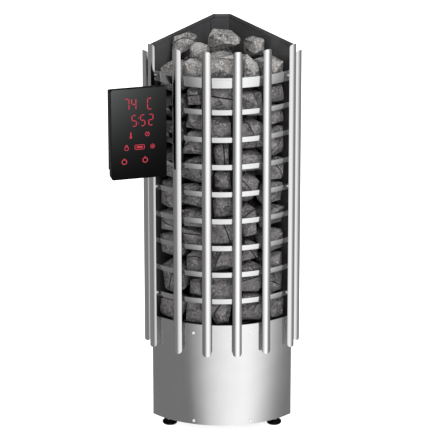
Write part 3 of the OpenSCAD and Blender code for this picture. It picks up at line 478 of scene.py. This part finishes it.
def broken_stones(name, node, material, slot, fineness, share, reach=(0.7, 0.92), facet=7 * MM):
    """Stones in the places of a CAD node's, with broken faces, and a share of them split in two.

    Each broken face is cut within reach, as a part of the way from the stone's middle to its skin. Edges
    longer than facet are halved, fineness times, before the dents are pressed in.
    """
    merged = bmesh.new()
    merged.from_mesh(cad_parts[node].data)
    bmesh.ops.remove_doubles(merged, verts=merged.verts, dist=same_point)
    heap = bmesh.new()
    heap.faces.layers.float.new("tone")
    waiting = set(merged.verts)
    for start in merged.verts[:]:
        if start not in waiting:
            continue
        found, edge_of_search = {start}, [start]
        while edge_of_search:
            for e in edge_of_search.pop().link_edges:
                for v in e.verts:
                    if v not in found:
                        found.add(v)
                        edge_of_search.append(v)
        waiting -= found
        points = sorted((v.co.copy() for v in found), key=tuple)
        middle = sum(points, Vector()) / len(points)
        parts = [[]]
        if rng.random() < share:
            direction = random_direction()
            parts = [[(middle + side * direction * crack_w / 2, -side * direction)] for side in (-1, 1)]
        for cuts in parts:
            outwards = Vector((middle.x, middle.y - axis_y, 0)).normalized()
            for number in range(broken_faces):
                direction = random_direction()
                if number < front_faces:
                    direction = (outwards + front_scatter * direction).normalized()
                extent = max((p - middle).dot(direction) for p in points)
                cuts.append((middle + direction * extent * rng.uniform(*reach), direction))
            stone = lump(points, cuts)
            if len(stone.faces) < 4:
                continue
            weather(stone, fineness, facet)
            shade = stone.faces.layers.float["shade"]
            shades = [face[shade] for face in stone.faces]
            scratch = bpy.data.meshes.new("one_stone")
            stone.to_mesh(scratch)
            stone.free()
            before = len(heap.faces)
            heap.from_mesh(scratch)
            bpy.data.meshes.remove(scratch)
            heap.faces.ensure_lookup_table()
            tone = heap.faces.layers.float["tone"]
            for face, value in zip(heap.faces[before:], shades):
                face[tone] = value
    merged.free()
    finish_piece(name, heap, material, slot, "heater", node, crease=28)


# Sizes of the rock's patches and crystals, their weights in its grey, and the span that the grey covers
patch_size, crystal_size = 22 * MM, 5 * MM
tone_weight, crystal_weight = 0.7, 1.5
darkest, lightest = 1.25, 1.95
fleck_fade = 0.12
pit_depth = 1.2 * MM


def diabase(name, dark, light, fleck, fleck_start):
    """Broken diabase: matt, each face its own grey, with darker patches and a speckle of pale crystals.

    The crystals are drawn 5 mm coarse so that they show.
    """
    material, shader, coords = start_material(name, dark, 0, 0.82)
    patch = add_node(
        material, "TexNoise", {"Scale": 1 / patch_size, "Detail": 5, "Roughness": 0.65}, {"Vector": coords})
    grain = add_node(
        material, "TexNoise", {"Scale": 1 / crystal_size, "Detail": 3, "Roughness": 0.7},
        {"Vector": coords})
    own = add_node(material, "Attribute", {"attribute_name": "tone"})
    blend = add_node(
        material, "Math", {"operation": "MULTIPLY_ADD", 1: tone_weight},
        {0: own.outputs["Fac"], 2: patch.outputs["Fac"]})
    pitted = add_node(
        material, "Math", {"operation": "MULTIPLY_ADD", 1: crystal_weight},
        {0: grain.outputs["Fac"], 2: blend.outputs[0]})
    spread = add_node(
        material, "MapRange", {"From Min": darkest, "From Max": lightest}, {"Value": pitted.outputs[0]})
    body = add_node(
        material, "Mix", {"data_type": "RGBA", 6: linear(dark), 7: linear(light)}, {0: spread.outputs[0]})
    crystals = add_node(
        material, "MapRange", {"From Min": fleck_start, "From Max": fleck_start + fleck_fade},
        {"Value": grain.outputs["Fac"]})
    flecked = add_node(
        material, "Mix", {"data_type": "RGBA", 7: linear(fleck)},
        {0: crystals.outputs[0], 6: body.outputs[2]})
    material.node_tree.links.new(flecked.outputs[2], shader.inputs["Base Color"])
    relief = add_node(
        material, "Math", {"operation": "ADD"}, {0: patch.outputs["Fac"], 1: grain.outputs["Fac"]})
    roughen(material, shader, relief.outputs[0], pit_depth)
    return material


# The same rock in two copies: a darker one, as painted shade, for the stones inside, and a lighter one, as
# painted light, for the heap on top
shaded_diabase = diabase("diabase_inside", "#383637", "#817e7e", "#9a9796", 0.58)
lit_diabase = diabase("diabase_on_top", "#3b393a", "#989694", "#c6c4c3", 0.57)
broken_stones(
    "stones_behind_bands", "stones_front", shaded_diabase, "stone_dark", fineness=3, share=1,
    reach=(0.86, 0.98), facet=8 * MM)
broken_stones(
    "stones_between_elements", "stones_middle", shaded_diabase, "stone_dark", fineness=2, share=0.5)
broken_stones("stones_in_corner", "stones_back", shaded_diabase, "stone_dark", fineness=2, share=0.3)
broken_stones(
    "stones_heaped", "stones_top", lit_diabase, "stone_light", fineness=4, share=0.3,
    reach=(0.85, 0.98), facet=5 * MM)

# Control panel housing
# A shell moulded in glossy black ABS, with 2 mm walls and soft edges. Its top slopes down behind a lip,
# and its lower part is thinner. The glass closes its front; a bracket behind it is clamped to a bar.

panel_low, panel_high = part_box("panel_glass")
panel_turn = math.radians(15)
panel_w, panel_h = 136 * MM, 227 * MM
panel_t, glass_t = 36 * MM, 4 * MM
panel_low_t, panel_low_h = 26 * MM, 17 * MM
panel_r, hump_r, back_r = 6 * MM, 3 * MM, 2 * MM
housing_wall = 2 * MM
housing_lip = 12 * MM
housing_drop = 9 * MM
near = 0.01 * MM
glass_middle = (panel_low + panel_high) / 2
panel_place = Matrix.Translation(glass_middle) @ Matrix.Rotation(panel_turn, 4, "Z")


def rounded_sheet(width, height, corner_r, segments=8):
    """A flat sheet with round corners that faces -Y."""
    sheet = bmesh.new()
    bmesh.ops.create_grid(sheet, x_segments=1, y_segments=1, size=0.5)
    bmesh.ops.scale(sheet, vec=(width, height, 1), verts=sheet.verts)
    bmesh.ops.rotate(sheet, matrix=Matrix.Rotation(math.pi / 2, 3, "X"), verts=sheet.verts)
    bmesh.ops.bevel(
        sheet, geom=sheet.verts[:], offset=corner_r, segments=segments, profile=0.5, affect="VERTICES",
        material=-1)
    return sheet


def thicken(sheet, depth):
    """Gives a flat sheet its depth, towards +Y."""
    grown = bmesh.ops.extrude_face_region(sheet, geom=sheet.faces[:])["geom"]
    far = [v for v in grown if isinstance(v, bmesh.types.BMVert)]
    bmesh.ops.translate(sheet, vec=(0, depth, 0), verts=far)
    bmesh.ops.recalc_face_normals(sheet, faces=sheet.faces)


def housing_block(inset, height, corner_r, front, back):
    """A block of the housing behind the glass, drawn in by an inset.

    Its top is cut to the slope, and its back edges are rounded.
    """
    block = rounded_sheet(panel_w - 2 * inset, height - 2 * inset, corner_r - inset)
    thicken(block, back - inset - front)
    bmesh.ops.translate(block, vec=(0, front, (panel_h - height) / 2), verts=block.verts)
    bmesh.ops.bisect_plane(
        block, geom=block.verts[:] + block.edges[:] + block.faces[:],
        plane_co=(0, housing_lip - glass_t, panel_h / 2 - inset),
        plane_no=(0, housing_drop, panel_t - housing_lip), clear_outer=True)
    bmesh.ops.holes_fill(block, edges=[e for e in block.edges if e.is_boundary])
    rear = [e for e in block.edges if all(v.co.y > back - inset - near for v in e.verts)]
    bmesh.ops.bevel(block, geom=rear, offset=back_r, segments=4, profile=0.5, affect="EDGES", material=-1)
    bmesh.ops.recalc_face_normals(block, faces=block.faces)
    return block


def join_form(form, other):
    """Moves the faces of another bmesh into a form."""
    scratch = bpy.data.meshes.new("scratch")
    other.to_mesh(scratch)
    other.free()
    form.from_mesh(scratch)
    bpy.data.meshes.remove(scratch)


low_back, hump_back = panel_low_t - glass_t, panel_t - glass_t
housing = housing_block(0, panel_h, panel_r, 0, low_back)
hollow = housing_block(housing_wall, panel_h, panel_r, 0, low_back)
bmesh.ops.reverse_faces(hollow, faces=hollow.faces)
join_form(housing, hollow)
bmesh.ops.delete(
    housing, geom=[f for f in housing.faces if all(v.co.y < near for v in f.verts)], context="FACES_ONLY")
bmesh.ops.bridge_loops(housing, edges=[e for e in housing.edges if e.is_boundary])
bmesh.ops.recalc_face_normals(housing, faces=housing.faces)
hump = housing_block(0, panel_h - panel_low_h, hump_r, low_back - housing_wall / 2, hump_back)
join_form(housing, hump)
housing.transform(panel_place @ Matrix.Translation((0, glass_t / 2, 0)))

# Glossy ABS: deep black, smooth, with the faint waviness of a moulding
sink_size = 18 * MM
gloss_abs, shader, coords = start_material("glossy_abs", "#0c0c0d", 0, 0.22, 0.008)
sink = add_node(gloss_abs, "TexNoise", {"Scale": 1 / sink_size, "Detail": 2}, {"Vector": coords})
mottle(gloss_abs, shader, sink.outputs["Fac"], "#060607", "#0b0b0c", 0.18, 0.28)
finish_piece("panel_shell", housing, gloss_abs, "panel_plastic", "heater", "panel_housing")

# Panel glass
# A 4 mm pane of toughened glass, glued to the housing. It is printed black on its back, with a painted
# reflection that fades to grey at its upper left; its ground edge is as black as the housing.

ground_r = 0.8 * MM
front_y = -0.95
pane = rounded_sheet(panel_w, panel_h, panel_r)
thicken(pane, glass_t)
rim_edges = [e for e in pane.edges if abs(e.verts[0].co.y - e.verts[1].co.y) < near]
bmesh.ops.bevel(
    pane, geom=rim_edges, offset=ground_r, segments=3, profile=0.5, affect="EDGES", material=-1)
pane.normal_update()
# The front carries the print and the painted reflection; the ground edge and the back are plain black
for face in pane.faces:
    face.material_index = 0 if face.normal.y < front_y else 1
pane.transform(panel_place @ Matrix.Translation((0, -glass_t / 2, 0)))

# Black printed glass: deep gloss over a painted reflection, a soft grey fade
grey_at_right, grey_at_foot = 0.48, 0.12
black_glass, shader, coords = start_material("printed_black_glass", "#1a1a1b", 0, 0.12, 0.03)
on_panel = add_node(
    black_glass, "Mapping",
    {"vector_type": "TEXTURE", "Location": glass_middle, "Rotation": (0, 0, panel_turn)},
    {"Vector": coords})
axes = add_node(black_glass, "SeparateXYZ", {}, {"Vector": on_panel.outputs[0]})
leftwards = add_node(
    black_glass, "MapRange", {"From Min": panel_w / 2, "From Max": -panel_w / 2, "To Min": grey_at_right},
    {"Value": axes.outputs["X"]})
upwards = add_node(
    black_glass, "MapRange", {"From Min": -panel_h / 2, "From Max": panel_h / 2, "To Min": grey_at_foot},
    {"Value": axes.outputs["Z"]})
painted_reflection_fade = add_node(
    black_glass, "Math", {"operation": "MULTIPLY"}, {0: leftwards.outputs[0], 1: upwards.outputs[0]})
deepened = add_node(black_glass, "Math", {"operation": "POWER", 1: 2}, {0: painted_reflection_fade.outputs[0]})
mottle(black_glass, shader, deepened.outputs[0], "#020202", "#494a4a", 0.12, 0.16)
finish_piece("panel_pane", pane, black_glass, "panel_glass", "heater", "panel_glass", inside=gloss_abs)

# Display
# Red light-emitting segments and touch symbols that shine through the black print: a temperature, a
# time, and plain signs for heat, time, light and steam.

glow_t = 0.12 * MM
stroke, stroke_r = 2.1 * MM, 0.9 * MM
lying_gap, upright_gap = 2.4 * stroke, 1.4 * stroke
display_right = 1.1 * MM
digit_w, digit_h = 12.5 * MM, 29 * MM
digit_parts = {
    "7": "abc", "4": "bcfg", "C": "adef", "5": "acdfg", "2": "abdeg",
}
part_places = {
    "a": (0, 1, True), "b": (1, 0.5, False), "c": (1, -0.5, False), "d": (0, -1, True),
    "e": (-1, -0.5, False), "f": (-1, 0.5, False), "g": (0, 0, True),
}
# Millimetres across and up from the pane's middle
digits = (
    ("7", -30, 75), ("4", -13, 74.5), ("C", 26, 73), ("5", -12.5, 33), ("5", 8.5, 32.8), ("2", 28.5, 32.8),
)
# Tiles of the signs: width, height, corner radius, across and up in millimetres, and a turn in radians
sign_tiles = (
    (2.1, 2.1, 1, -1.8, 26.5, 0), (2.1, 2.1, 1, -1.8, 39.5, 0),  # colon
    (3, 12, 1.4, -21, -1.5, 0),  # thermometer
    (1.3, 4.4, 0.6, 19.4, -0.8, 0), (3.6, 1.3, 0.6, 20.8, -2.6, 0),  # hands of the clock
    (1.5, 6.4, 0.7, -33.7, -28.8, 0.6), (1.5, 6.4, 0.7, -29.9, -28.8, -0.6),  # tip of the drop
    (21, 1.6, 0.7, 0.3, -28.4, 0), (21, 1.6, 0.7, 0.3, -39.4, 0),  # box
    (1.6, 10, 0.7, -11.2, -33.9, 0), (1.6, 10, 0.7, 11.8, -33.9, 0), (15, 4.2, 1, 0.3, -33.9, 0),
    (1.5, 7.4, 0.7, 32.2, -34.2, 0.4), (1.5, 7.4, 0.7, 32.2, -34.2, 1.97),  # blades of the fan
    (2, 5.6, 0.9, -37.6, -62, 0), (2, 5.6, 0.9, 13.6, -60.9, 0),  # tips of the touch keys
)
# Rings of the signs: across, up, radius and width in millimetres, and the number of sides
sign_rings = (
    (-21, -8, 3, 2.4, 20),  # bulb of the thermometer
    (19.4, -2.3, 5.6, 1.5, 32), (-31.8, -35.4, 5.4, 1.5, 32), (32.2, -34.2, 5.6, 1.2, 32),
    (-37.6, -68.6, 6.8, 2, 32), (13.6, -67.5, 6.8, 2, 32),
)


def add_tile(form, width, height, corner_r, across, up, turn=0):
    """Adds a thin glowing tile at a place on the pane, turned about its own middle."""
    tile = rounded_sheet(width, height, corner_r, segments=4)
    thicken(tile, glow_t)
    tile.transform(Matrix.Translation((across, 0, up)) @ Matrix.Rotation(turn, 4, "Y"))
    join_form(form, tile)


def add_ring(form, across, up, radius, width, sides):
    """Adds a thin glowing ring at a place on the pane."""
    ring = bmesh.new()
    bmesh.ops.create_circle(ring, cap_ends=True, segments=sides, radius=radius)
    bmesh.ops.rotate(ring, matrix=Matrix.Rotation(math.pi / 2, 3, "X"), verts=ring.verts)
    bmesh.ops.inset_region(
        ring, faces=ring.faces[:], thickness=width, use_boundary=True, use_even_offset=True)
    bmesh.ops.delete(ring, geom=[f for f in ring.faces if len(f.verts) == sides], context="FACES_ONLY")
    thicken(ring, glow_t)
    ring.transform(Matrix.Translation((across, 0, up)))
    join_form(form, ring)


display = bmesh.new()
for digit, across, up in digits:
    for part in digit_parts[digit]:
        side, level, lying = part_places[part]
        size = (digit_w - lying_gap, stroke) if lying else (stroke, digit_h / 2 - upright_gap)
        add_tile(
            display, *size, stroke_r, across * MM + side * (digit_w - stroke) / 2,
            up * MM + level * (digit_h - stroke) / 2)
for width, height, corner_r, across, up, turn in sign_tiles:
    add_tile(display, width * MM, height * MM, corner_r * MM, across * MM, up * MM, turn)
for across, up, radius, width, sides in sign_rings:
    add_ring(display, across * MM, up * MM, radius * MM, width * MM, sides)
bmesh.ops.recalc_face_normals(display, faces=display.faces)
display.transform(panel_place @ Matrix.Translation((display_right, -glass_t / 2 - glow_t, 0)))

# Lit diodes behind a diffuser: an even red glow, a little brighter in places
glow_patch_size, glow_strength = 5 * MM, 0.8
red_light, shader, coords = start_material("red_light_segments", "#3a0410", 0, 0.4)
flicker = add_node(red_light, "TexNoise", {"Scale": 1 / glow_patch_size, "Detail": 1}, {"Vector": coords})
glow = add_node(
    red_light, "Mix", {"data_type": "RGBA", 6: linear("#c4122e"), 7: linear("#e62846")},
    {0: flicker.outputs["Fac"]})
red_light.node_tree.links.new(glow.outputs[2], shader.inputs["Emission Color"])
shader.inputs["Emission Strength"].default_value = glow_strength
finish_piece("panel_display", display, red_light, "red_plastic", "heater")

# Circuit board behind the pane
# A 1.6 mm glass-epoxy board in green lacquer on four pillars inside the housing.

# Green solder lacquer over copper tracks, seen as slightly lighter patches
track_size = 7 * MM
lacquer, shader, coords = start_material("green_board_lacquer", "#14492c", 0, 0.35)
tracks = add_node(
    lacquer, "TexVoronoi", {"Scale": 1 / track_size, "distance": "MANHATTAN"}, {"Vector": coords})
mottle(lacquer, shader, tracks.outputs["Color"], "#103f25", "#1b5936", 0.28, 0.42)
dress(lacquer, "panel_board")

# Panel bracket and clamp jaws
# A galvanised steel plate with two welded arms, and two loose jaws behind the bar.

dress(galvanised, "panel_bracket", "clamp_jaws")

# Studio
# A white floor and surround, an even sky for the body colours, and for bright metal a room that is
# light in front and to the right, and dimmer at the sides.

floor_half, floor_gap = 20, 0.3 * MM
floor_form = bmesh.new()
bmesh.ops.create_grid(floor_form, x_segments=1, y_segments=1, size=floor_half)
bmesh.ops.translate(floor_form, vec=(0, 0, -floor_gap), verts=floor_form.verts)
mesh = bpy.data.meshes.new("studio_floor")
floor_form.to_mesh(mesh)
floor_form.free()
floor = bpy.data.objects.new("studio_floor", mesh)
bpy.context.scene.collection.objects.link(floor)
floor.visible_glossy = False

# White paper: matt, and lifted to pure white for the camera
paper_glow = 0.8
paper, shader, coords = start_material("white_paper", "#f0f0f0", 0, 0.9, 0)
shader.inputs["Emission Color"].default_value = linear("#ffffff")
path = add_node(paper, "LightPath")
lift = add_node(
    paper, "Math", {"operation": "MULTIPLY", 1: paper_glow}, {0: path.outputs["Is Camera Ray"]})
paper.node_tree.links.new(lift.outputs[0], shader.inputs["Emission Strength"])
mesh.materials.append(paper)

world = bpy.data.worlds.new("studio")
world.use_nodes = True
bpy.context.scene.world = world
world.node_tree.nodes.clear()
sky_level = 0.85
room_level = 1.5
# Degrees from the front, to the right, and how light the room is there
room_shades = [
    (-180, 0.2), (-120, 0.18), (-91, 0.17), (-47, 0.172), (-41, 0.2), (-36, 0.28), (-28, 0.4),
    (-18, 0.6), (-6, 0.77), (8, 0.9), (27, 0.98), (36, 0.93), (46, 0.8), (63, 0.49), (73, 0.33),
    (82, 0.24), (93, 0.185), (120, 0.18), (180, 0.2),
]
path = add_node(world, "LightPath")
direction = add_node(world, "SeparateXYZ", {}, {0: add_node(world, "TexCoord").outputs["Generated"]})
front = add_node(world, "Math", {"operation": "MULTIPLY", 1: -1}, {0: direction.outputs["Y"]})
azimuth = add_node(
    world, "Math", {"operation": "ARCTAN2"}, {0: direction.outputs["X"], 1: front.outputs[0]})
share = add_node(
    world, "MapRange", {"From Min": -math.pi, "From Max": math.pi}, {"Value": azimuth.outputs[0]})
ramp = add_node(world, "ValToRGB", {}, {0: share.outputs[0]})
stops = ramp.color_ramp.elements
for stop, (degrees, shade) in zip(stops, (room_shades[0], room_shades[-1])):
    stop.color = (shade, shade, shade, 1)
for degrees, shade in room_shades[1:-1]:
    stops.new((degrees + 180) / 360).color = (shade, shade, shade, 1)
sky = add_node(world, "Background", {"Color": linear("#ffffff"), "Strength": sky_level})
room = add_node(world, "Background", {"Strength": room_level}, {"Color": ramp.outputs[0]})
white = add_node(world, "Background", {"Color": linear("#ffffff"), "Strength": 1})
lit = add_node(
    world, "MixShader", {}, {0: path.outputs["Is Glossy Ray"], 1: sky.outputs[0], 2: room.outputs[0]})
seen = add_node(
    world, "MixShader", {}, {0: path.outputs["Is Camera Ray"], 1: lit.outputs[0], 2: white.outputs[0]})
add_node(world, "OutputWorld", {}, {0: seen.outputs[0]})

# A soft box above the front, at the right
box_place = Vector((1.0, -2.0, 3.2))
box_aim = Vector((0, 0, 0.55))
box_w, box_watts = 1.4, 90
light = bpy.data.lights.new("soft_box", "AREA")
light.size = box_w
light.energy = box_watts
lamp = bpy.data.objects.new("soft_box", light)
lamp.visible_glossy = False
lamp.location = box_place
lamp.rotation_euler = (box_aim - box_place).to_track_quat("-Z", "Y").to_euler()
bpy.context.scene.collection.objects.link(lamp)

# Camera
# It stands 7.65 m in front, a little above the heater, and looks down on it with a long lens.

pitch = math.radians(20.29)
distance = 7.654
target = Vector((-1.2 * MM, axis_y, 472 * MM))
lens_mm, film_mm, view_depth = 248.8, 36, 100
camera = bpy.data.objects.new("camera", bpy.data.cameras.new("camera"))
camera.data.sensor_width = film_mm
camera.data.lens = lens_mm
camera.data.clip_end = view_depth
camera.location = target + Vector((0, -distance * math.cos(pitch), distance * math.sin(pitch)))
camera.rotation_euler = (math.pi / 2 - pitch, 0, 0)
bpy.context.scene.collection.objects.link(camera)
bpy.context.scene.camera = camera
bpy.context.scene.view_settings.view_transform = "Standard"
